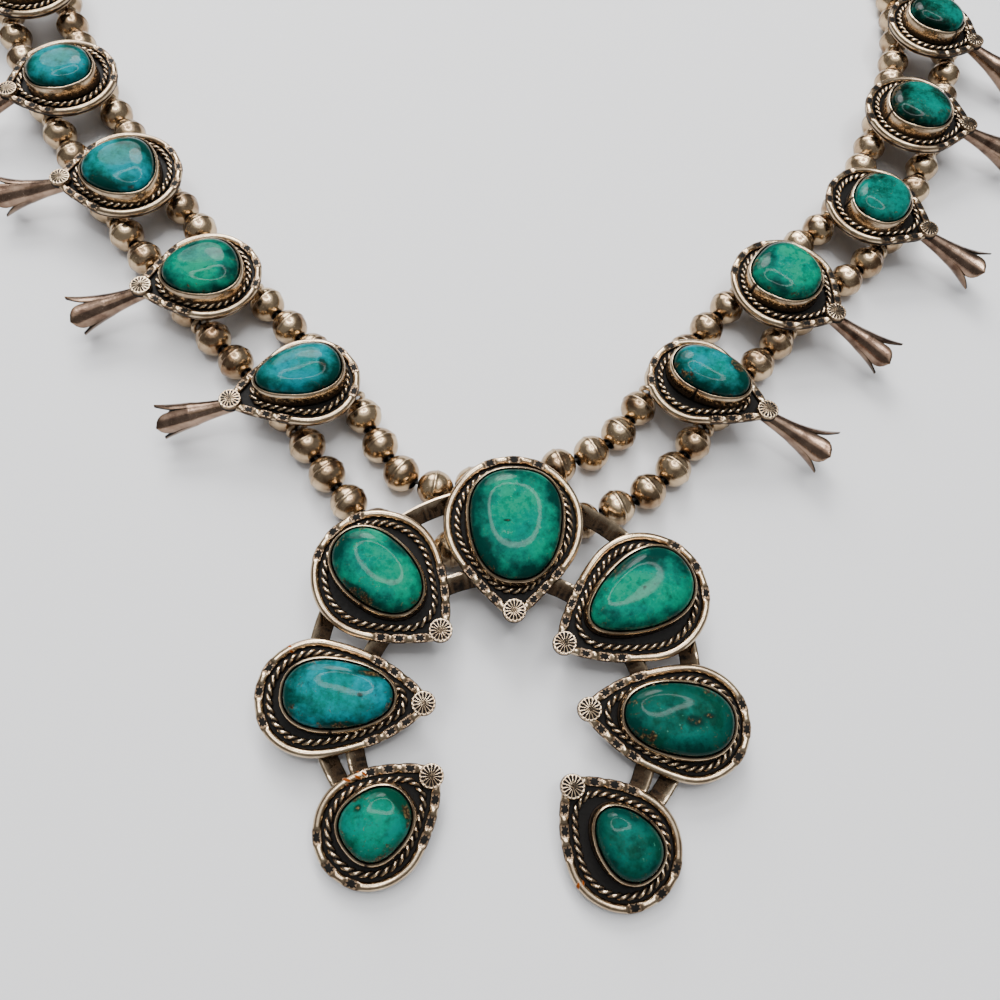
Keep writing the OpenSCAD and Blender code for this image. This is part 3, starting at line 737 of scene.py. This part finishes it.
def petal(shape, place, spec, mirror, roll, opened, rng):
    """One petal: a folded sheet that narrows to its end and bends outward."""
    direction, half_width, flare, reach, blunt = spec
    flare = flare * opened * rng.uniform(0.85, 1.1)
    t = np.linspace(SPLIT - PETAL_ROOT, 1, 18)
    share = np.clip((t - SPLIT) / (1 - SPLIT), 0, 1)
    base = np.polyval(FLOWER_CURVE, SPLIT)
    radius = base + (np.polyval(FLOWER_CURVE, t) - base) * np.where(share > 0, flare, 1)
    half = np.radians(half_width) * (1 - share ** blunt) + 0.05
    v = np.linspace(-1, 1, PETAL_ACROSS)
    middle = FACING + roll + direction + rng.uniform(-6, 6)
    angle = math.radians(middle if mirror < 0 else 180 - middle) + half[:, None] * v
    fold = 0.25 * share * rng.uniform(0.3, 1.3)
    outer = radius[:, None] + fold[:, None] * (1 - np.abs(v) ** 1.3)
    inner = outer - PETAL_T * (1 - 0.4 * share[:, None])
    stretch = reach * rng.uniform(0.96, 1.03)
    along_x = FLOWER_L * (SPLIT - PETAL_ROOT + (t - SPLIT + PETAL_ROOT) * stretch)
    x = along_x[:, None] * np.ones(PETAL_ACROSS)
    sheet = [np.stack([x, r * np.cos(angle), r * np.sin(angle)], -1) for r in (outer, inner)]
    loop = np.concatenate([sheet[0], sheet[1][:, ::-1]], axis=1)
    edge = np.abs(np.concatenate([v, v[::-1]]))
    inside = np.repeat([0, 0.75], PETAL_ACROSS)
    worn = 0.30 * share[:, None] ** 3 + 0.35 * edge ** 8 * (share[:, None] > 0.1)
    shape.grid(loop, np.clip(inside + worn, 0, 1), place, wrap=(False, True), caps=True)


def flower(name, spec, place, rng):
    """A cone of sheet with one seam, that opens into four petals."""
    swing, roll, opened = FLOWERS[name]
    bent = place @ turn(swing) @ turn(DROOP, "Y")
    shape = Shape()
    t = np.linspace(0, SPLIT, CONE_STEPS)
    outer = np.polyval(FLOWER_CURVE, t)
    x = np.concatenate([FLOWER_L * t, FLOWER_L * t[::-1]])
    radius = np.concatenate([outer, outer[::-1] - PETAL_T])
    a = np.linspace(0, 2 * math.pi, 48, endpoint=False)
    seam = np.exp(-((a - SEAM_BEARING) / 0.07) ** 2)[:, None]
    dent = 1 + 0.02 * np.sin(2 * a[:, None] + rng.uniform(0, 6)) - 0.03 * seam
    inside = np.repeat([0, 0.8], CONE_STEPS)
    points = np.stack([np.broadcast_to(x, (len(a), len(x))), np.cos(a)[:, None] * radius * dent,
                       np.sin(a)[:, None] * radius * dent], -1)
    shape.grid(points, np.clip(inside + 0.7 * seam, 0, 1), bent)
    for petal_spec in PETALS:
        petal(shape, bent, petal_spec, spec[1], roll, opened, rng)
    piece = shape.build(f"flower_{name}", [tarnished])
    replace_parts(piece, f"blossom_{name}")


def place_blossom(spec):
    m = blossom_at(spec[1], spec[2])
    return CENTRE.place(m, PLATE_Z) @ turn(90 + spec[3])


def blossom(spec, rng):
    name, side, row = spec[:3]
    place = place_blossom(spec)
    tip = TIP_L * spec[5]
    shape = Shape()
    setting(shape, spec, BLOSSOM_BEZEL_H, place, rng)
    m = blossom_at(side, row)
    for strand in (OUTER, INNER):
        ends = []
        for end in (-1, 1):
            s = strand.beside(m + end * LOOP_HALF)
            ring(shape, strand.place(s, BEAD_Z))
            x, y = strand.at(s) + ORIGIN_SHIFT
            tube(shape, (x, y, BEAD_Z + RING_R), (x, y, PLATE_Z + 0.3), 0.45 * LOOP_WIRE)
            ends.append((x, y, PLATE_Z - LOOP_WIRE / 2 + 0.05))
        tube(shape, *ends, LOOP_WIRE / 2)
    piece = shape.build(f"setting_{name}", [silver])
    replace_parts(piece, f"blossom_{name}")
    flower(name, spec, place @ move(tip - BUTTON_BACK, 0), rng)


# The naja

def tilt_naja():
    x, y = ORIGIN_SHIFT
    return move(x, y + NAJA_FOOT) @ turn(NAJA_TILT, "X") @ move(0, -NAJA_FOOT)


def place_naja_setting(spec):
    x, y = NAJA_CENTRE
    return (tilt_naja() @ move(x, y, WIRE_H - OVERLAP) @ turn(spec[1])
            @ move(NAJA_R * spec[2], 0) @ turn(180 + spec[3]))


# Ends of the two frame wires, in degrees round the naja
NAJA_ENDS = (-56, 236)
NAJA_INNER_ENDS = (-46, 226)

# The wedge of a frame wire from its outer foot to its inner one: out, up, how rough it is, and grime
WEDGE = np.array([
    (0, 0, 0, 0.35), (0, 1.6, 0, 0.05), (-0.12, 1.98, 0, 0), (-0.42, 2.1, 0, 0),
    (-0.72, 1.98, 0.3, 0.2), (-1.4, 1.35, 1, 0.5), (-2.2, 0.7, 1, 0.6), (-2.72, 0.34, 0.5, 0.6),
    (-2.8, 0.25, 0, 0.9), (-2.8, 0, 0, 1),
])


def frame_wire(shape, place, radius, ends, rng):
    """A wedge of wire: a bright ridge outside, and a dark filed slope towards the middle."""
    a = np.radians(np.arange(ends[0], ends[1] + 0.1, 0.8))
    out, up, rough, dirt = WEDGE.T
    filed = rng.uniform(-1, 1, len(a))[:, None]
    grime_and_shade = dirt + 0.18 * filed * rough
    r = radius + out - 0.02
    z = up + 0.05 * filed * rough
    points = np.stack([np.outer(np.cos(a), r), np.outer(np.sin(a), r), z], -1)
    shape.grid(points, np.clip(grime_and_shade, 0, 1), place, wrap=(False, True), caps=True)


def naja_frame(rng):
    shape = Shape()
    tilted = tilt_naja()
    x, y = NAJA_CENTRE
    frame_wire(shape, tilted @ move(x, y), NAJA_R, NAJA_ENDS, rng)
    frame_wire(shape, tilted @ move(x, y - NAJA_SHIFT), NAJA_INNER_R, NAJA_INNER_ENDS, rng)
    for strand, reach in ((OUTER, OUTER.at(0)[1]), (INNER, STEM_REACH)):
        ring(shape, strand.place(0, BEAD_Z))
        foot = strand.at(0)
        top = tilted @ np.array([foot[0], reach, WIRE_H, 1])
        tube(shape, (*(foot + ORIGIN_SHIFT), BEAD_Z + RING_R), top[:3], LOOP_WIRE / 2)
    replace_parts(shape.build("naja_frame", [silver]), "naja")


# Materials, made of nodes

def material(name):
    made = bpy.data.materials.new(name)
    made.use_nodes = True
    nodes = made.node_tree.nodes
    return made, nodes, made.node_tree.links, nodes["Principled BSDF"]


def plain_material(name):
    made = material(name)
    return made[0], made[3]


def add(nodes, kind, inputs=None, **settings):
    node = nodes.new(kind)
    for key, value in settings.items():
        setattr(node, key, value)
    for key, value in (inputs or {}).items():
        node.inputs[key].default_value = value
    return node


def noise(nodes, links, coordinates, scale, detail=4.0, roughness=0.55):
    made = add(nodes, "ShaderNodeTexNoise", {"Scale": scale, "Detail": detail, "Roughness": roughness})
    links.new(coordinates, made.inputs["Vector"])
    return made.outputs["Fac"]


def remap(nodes, links, value, low, high, to_low=0.0, to_high=1.0):
    made = add(nodes, "ShaderNodeMapRange", {"From Min": low, "From Max": high,
                                              "To Min": to_low, "To Max": to_high})
    links.new(value, made.inputs["Value"])
    return made.outputs["Result"]


def blend(nodes, links, share, first, second):
    made = add(nodes, "ShaderNodeMix", data_type="RGBA")
    links.new(share, made.inputs[0])
    for socket, value in ((made.inputs[6], first), (made.inputs[7], second)):
        if isinstance(value, tuple):
            socket.default_value = (*value, 1)
        else:
            links.new(value, socket)
    return made.outputs[2]


def add_maths(nodes, links, operation, first, second):
    made = add(nodes, "ShaderNodeMath", operation=operation)
    for socket, value in zip(made.inputs, (first, second)):
        if isinstance(value, (int, float)):
            socket.default_value = value
        else:
            links.new(value, socket)
    return made.outputs[0]


BLACKENED = (0.004, 0.0033, 0.0028)
# Brown of tarnish, also used as painted shade on the rim wire's flanks
BROWN = (0.15, 0.095, 0.056)
RUST_HUE = (0.22, 0.046, 0.001)


def make_silver(name, bright, warm, tarnish, rough):
    """Worn silver: warm tarnish in patches, fine scratches, and black where grime has gathered; a little
    of the same value browns the rim wire's flanks as painted shade.
    """
    made, nodes, links, shader = material(name)
    place = add(nodes, "ShaderNodeTexCoord").outputs["Object"]
    patches = noise(nodes, links, place, 260, 5)
    speckle = noise(nodes, links, place, 2200, 4, 0.65)
    stretched = add(nodes, "ShaderNodeMapping", {"Rotation": (0.4, 0.9, 0.7), "Scale": (1, 9, 9)})
    links.new(place, stretched.inputs["Vector"])
    scratches = noise(nodes, links, stretched.outputs["Vector"], 900, 2, 0.5)
    toned = blend(nodes, links, remap(nodes, links, patches, 0.38, 0.66, 0, tarnish), bright, warm)
    grime_and_shade = add(nodes, "ShaderNodeAttribute", attribute_name="grime_and_shade").outputs["Fac"]
    uneven = add_maths(nodes, links, "MULTIPLY", add_maths(nodes, links, "SUBTRACT", speckle, 0.5), 0.5)
    dirt_and_shade = add_maths(nodes, links, "ADD", grime_and_shade, uneven)
    # Brown from tarnish, and on the rim wire's flanks painted shade
    browned = blend(nodes, links, remap(nodes, links, dirt_and_shade, 0.12, 0.48), toned, BROWN)
    dark = remap(nodes, links, dirt_and_shade, 0.38, 0.75)
    rusted = remap(nodes, links, dirt_and_shade, -0.22, -0.50)
    coloured = blend(nodes, links, rusted, browned, RUST_HUE)
    links.new(blend(nodes, links, dark, coloured, BLACKENED), shader.inputs["Base Color"])
    dull = add_maths(nodes, links, "MAXIMUM", dark, rusted)
    links.new(remap(nodes, links, dull, 0, 1, 1, 0.1), shader.inputs["Metallic"])
    shader.inputs["Specular IOR Level"].default_value = 0.12
    polish = remap(nodes, links, speckle, 0.3, 0.7, rough - 0.06, rough + 0.08)
    links.new(add_maths(nodes, links, "ADD", polish, remap(nodes, links, dull, 0, 1, 0, 0.35)),
              shader.inputs["Roughness"])
    bump = add(nodes, "ShaderNodeBump", {"Strength": 0.15, "Distance": 0.00004})
    links.new(add_maths(nodes, links, "ADD", scratches, speckle), bump.inputs["Height"])
    links.new(bump.outputs["Normal"], shader.inputs["Normal"])
    return made


def make_turquoise(name, main, second, matrix, offset):
    """Polished stone: two hues in clouds, fine mottling, pale specks, painted shade towards its edge, and
    dark matrix in blots, more often near the edge.
    """
    made, nodes, links, shader = material(name)
    texture = add(nodes, "ShaderNodeTexCoord")
    shift = add(nodes, "ShaderNodeVectorMath", operation="ADD")
    shift.inputs[1].default_value = offset
    links.new(texture.outputs["Object"], shift.inputs[0])
    place = shift.outputs[0]
    clouds = noise(nodes, links, place, 170, 5, 0.6)
    mottle = noise(nodes, links, place, 750, 6, 0.7)
    grain = noise(nodes, links, place, 2600, 3, 0.6)
    pale = tuple(1.35 * c + 0.006 for c in main)
    deep = tuple(0.15 * c for c in second)
    toned = blend(nodes, links, remap(nodes, links, clouds, 0.40, 0.60), main, second)
    mottled = blend(nodes, links, remap(nodes, links, mottle, 0.50, 0.72, 0, 0.5), toned, pale)
    shaded = blend(nodes, links, remap(nodes, links, mottle, 0.50, 0.32, 0, 0.6), mottled, deep)
    grained = blend(nodes, links, remap(nodes, links, grain, 0.45, 0.75, 0, 0.35), shaded, pale)
    specked = remap(nodes, links, noise(nodes, links, place, 1500, 2), 0.66, 0.72, 0, 0.55)
    where = remap(nodes, links, noise(nodes, links, place, 220, 2), 0.50, 0.60)
    specks = add_maths(nodes, links, "MULTIPLY", specked, where)
    flecked = blend(nodes, links, specks, grained, SPECK)
    edge = add(nodes, "ShaderNodeAttribute", attribute_name="grime_and_shade").outputs["Fac"]
    # Painted shade: the colour darkens raggedly towards the stone's edge
    ragged = add_maths(nodes, links, "MULTIPLY", add_maths(nodes, links, "SUBTRACT", clouds, 0.5), 2.2)
    shade = remap(nodes, links, add_maths(nodes, links, "ADD", edge, ragged), 0.55, 1.05, 0, 0.94)
    rimmed = blend(nodes, links, shade, flecked, deep)
    wander = noise(nodes, links, place, 330, 6, 0.72)
    lean = remap(nodes, links, edge, 0.45, 1.0, 0, 0.17)
    likely = add_maths(nodes, links, "ADD", wander, lean)
    blot = remap(nodes, links, likely, 0.78 - 0.10 * matrix, 0.86 - 0.10 * matrix)
    ridged = add_maths(nodes, links, "ABSOLUTE", add_maths(nodes, links, "SUBTRACT", clouds, 0.5), 0)
    vein = remap(nodes, links, ridged, 0.010, 0.002, 0, 0.7 * matrix)
    broken = remap(nodes, links, mottle, 0.50, 0.58)
    speckled = add_maths(nodes, links, "MAXIMUM", blot, add_maths(nodes, links, "MULTIPLY", vein, broken))
    uneven = add_maths(nodes, links, "MULTIPLY", add_maths(nodes, links, "SUBTRACT", mottle, 0.5), 3.5)
    placed = add_maths(nodes, links, "ADD", edge, uneven)
    dark = add_maths(nodes, links, "MAXIMUM", speckled, remap(nodes, links, placed, 1.35, 1.75, 0, 0.95))
    earth = blend(nodes, links, remap(nodes, links, grain, 0.50, 0.66), MATRIX, OCHRE)
    links.new(blend(nodes, links, dark, rimmed, earth), shader.inputs["Base Color"])
    links.new(remap(nodes, links, dark, 0, 1, 0.07, 0.35), shader.inputs["Roughness"])
    shader.inputs["Specular IOR Level"].default_value = 0.06
    bump = add(nodes, "ShaderNodeBump", {"Strength": 0.03, "Distance": 0.0001})
    links.new(mottle, bump.inputs["Height"])
    links.new(bump.outputs["Normal"], shader.inputs["Normal"])
    return made


def make_thread():
    made, nodes, links, shader = material("black_thread")
    place = add(nodes, "ShaderNodeTexCoord").outputs["Object"]
    fibre = noise(nodes, links, place, 4000, 3)
    links.new(blend(nodes, links, fibre, (0.012, 0.011, 0.010), (0.05, 0.043, 0.036)),
              shader.inputs["Base Color"])
    shader.inputs["Roughness"].default_value = 0.8
    bump = add(nodes, "ShaderNodeBump", {"Strength": 0.6, "Distance": 0.0001})
    links.new(fibre, bump.inputs["Height"])
    links.new(bump.outputs["Normal"], shader.inputs["Normal"])
    return made


silver = make_silver("worn_silver", (0.60, 0.47, 0.315), (0.30, 0.205, 0.125), 0.85, 0.20)
bead_silver = make_silver("bead_silver", (0.60, 0.45, 0.28), (0.19, 0.112, 0.060), 1.0, 0.20)
tarnished = make_silver("tarnished_silver", (0.36, 0.245, 0.175), (0.090, 0.052, 0.036), 1.0, 0.20)
thread_black = make_thread()

# Hues of the stones
SPECK = (0.06, 0.27, 0.19)
MATRIX = (0.020, 0.012, 0.006)
OCHRE = (0.150, 0.100, 0.040)
GREEN = (0.0, 0.185, 0.105)
TEAL = (0.0, 0.135, 0.105)
BLUE = (0.0, 0.165, 0.195)
DEEP = (0.0, 0.036, 0.022)

# Looks of the stones: main hue, second hue, amount of dark matrix
STONE_LOOKS = {
    "top": (GREEN, TEAL, 0.3), "upper_left": (GREEN, TEAL, 0.7), "middle_left": (BLUE, TEAL, 0.8),
    "lower_left": (TEAL, GREEN, 0.7), "upper_right": (GREEN, TEAL, 0.5),
    "middle_right": (DEEP, TEAL, 0.7), "lower_right": (DEEP, TEAL, 0.3), "left_1": (BLUE, TEAL, 0.6),
    "left_2": (GREEN, TEAL, 0.5), "left_3": (BLUE, TEAL, 0.2), "left_4": (BLUE, TEAL, 0.4),
    "left_5": (TEAL, BLUE, 0.4), "right_1": (BLUE, TEAL, 0.8), "right_2": (GREEN, TEAL, 0.7),
    "right_3": (TEAL, DEEP, 0.8), "right_4": (TEAL, DEEP, 0.8), "right_5": (TEAL, DEEP, 0.6),
}


def add_stone(node, spec, height, place, number):
    rng = np.random.default_rng(300 + number)
    shape = Shape()
    stone(shape, spec, height, place, rng)
    main, second, matrix = STONE_LOOKS[spec[0]]
    offset = tuple(rng.uniform(0, 1, 3))
    look = make_turquoise(f"turquoise_{spec[0]}", main, second, matrix, offset)
    piece = shape.build(f"polished_{spec[0]}", [look], 60)
    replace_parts(piece, node)


def build_necklace():
    rng = np.random.default_rng(11)
    naja_frame(rng)
    for number, spec in enumerate(NAJA_SETTINGS):
        place = place_naja_setting(spec)
        shape = Shape()
        setting(shape, spec, NAJA_BEZEL_H, place, rng)
        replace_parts(shape.build(f"naja_setting_{spec[0]}", [silver]), "naja")
        add_stone(f"naja_stone_{spec[0]}", spec, NAJA_BEZEL_H, place, number)
    for number, spec in enumerate(BLOSSOMS):
        blossom(spec, rng)
        add_stone(f"blossom_stone_{spec[0]}", spec, BLOSSOM_BEZEL_H, place_blossom(spec), 20 + number)
    for name, strand in (("beads_inner", INNER), ("beads_outer", OUTER)):
        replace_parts(strand_of_beads(name, strand, rng), name)
    for name, look in (("thread_inner", thread_black), ("thread_outer", thread_black), ("clasp", silver)):
        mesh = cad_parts[name].data
        mesh.materials.clear()
        mesh.materials.append(look)


# Floor and light, in metres and watts

FLOOR_HALF = 3.0


def add_floor():
    mesh = bpy.data.meshes.new("floor")
    corners = [(FLOOR_HALF * x, FLOOR_HALF * y, 0) for x, y in ((-1, -1), (1, -1), (1, 1), (-1, 1))]
    mesh.from_pydata(corners, [], [(0, 1, 2, 3)])
    made, shader = plain_material("pale_floor")
    shader.inputs["Base Color"].default_value = (0.74, 0.74, 0.75, 1)
    shader.inputs["Roughness"].default_value = 0.75
    mesh.materials.append(made)
    floor = bpy.data.objects.new("floor", mesh)
    bpy.context.scene.collection.objects.link(floor)


def add_light(name, place, target, size, watts):
    data = bpy.data.lights.new(name, "AREA")
    data.shape = "DISK"
    data.size = size
    data.energy = watts
    lamp = bpy.data.objects.new(name, data)
    place, target = Vector(place), Vector(target)
    lamp.location = place
    lamp.rotation_euler = (target - place).to_track_quat("-Z", "Y").to_euler()
    bpy.context.scene.collection.objects.link(lamp)


def add_ring_light(x, y, height, radius, width, strength):
    """A flat ring lamp overhead, which the polished stones mirror as a pale ring."""
    a = np.linspace(0, 2 * math.pi, 96, endpoint=False)
    count = len(a)
    points = [(x + r * math.cos(v), y + r * math.sin(v), height)
              for r in (radius - width / 2, radius + width / 2) for v in a]
    faces = [(k, (k + 1) % count, count + (k + 1) % count, count + k) for k in range(count)]
    mesh = bpy.data.meshes.new("ring_lamp")
    mesh.from_pydata(points, [], faces)
    made, shader = plain_material("ring_lamp")
    shader.inputs["Base Color"].default_value = (0, 0, 0, 1)
    shader.inputs["Emission Color"].default_value = (1, 1, 1, 1)
    shader.inputs["Emission Strength"].default_value = strength
    mesh.materials.append(made)
    lamp = bpy.data.objects.new("ring_lamp", mesh)
    bpy.context.scene.collection.objects.link(lamp)


def add_world(colour, strength):
    world = bpy.data.worlds.new("soft_room")
    bpy.context.scene.world = world
    world.use_nodes = True
    background = world.node_tree.nodes["Background"]
    background.inputs["Color"].default_value = (*colour, 1)
    background.inputs["Strength"].default_value = strength


add_camera()
build_necklace()
add_floor()
add_world((0.96, 0.97, 1.0), 0.26)
add_ring_light(0.0, 0.36, height=1.5, radius=0.52, width=0.11, strength=24)
add_light("ceiling", (0.0, 0.3, 1.9), target=(0, 0.02, 0), size=3.0, watts=23)
add_light("overhead", (-0.10, 0.60, 0.60), target=(0, 0.03, 0), size=0.30, watts=4.5)
add_light("wide_back", (-0.45, 1.2, 0.9), target=(0, 0, 0), size=1.0, watts=18)
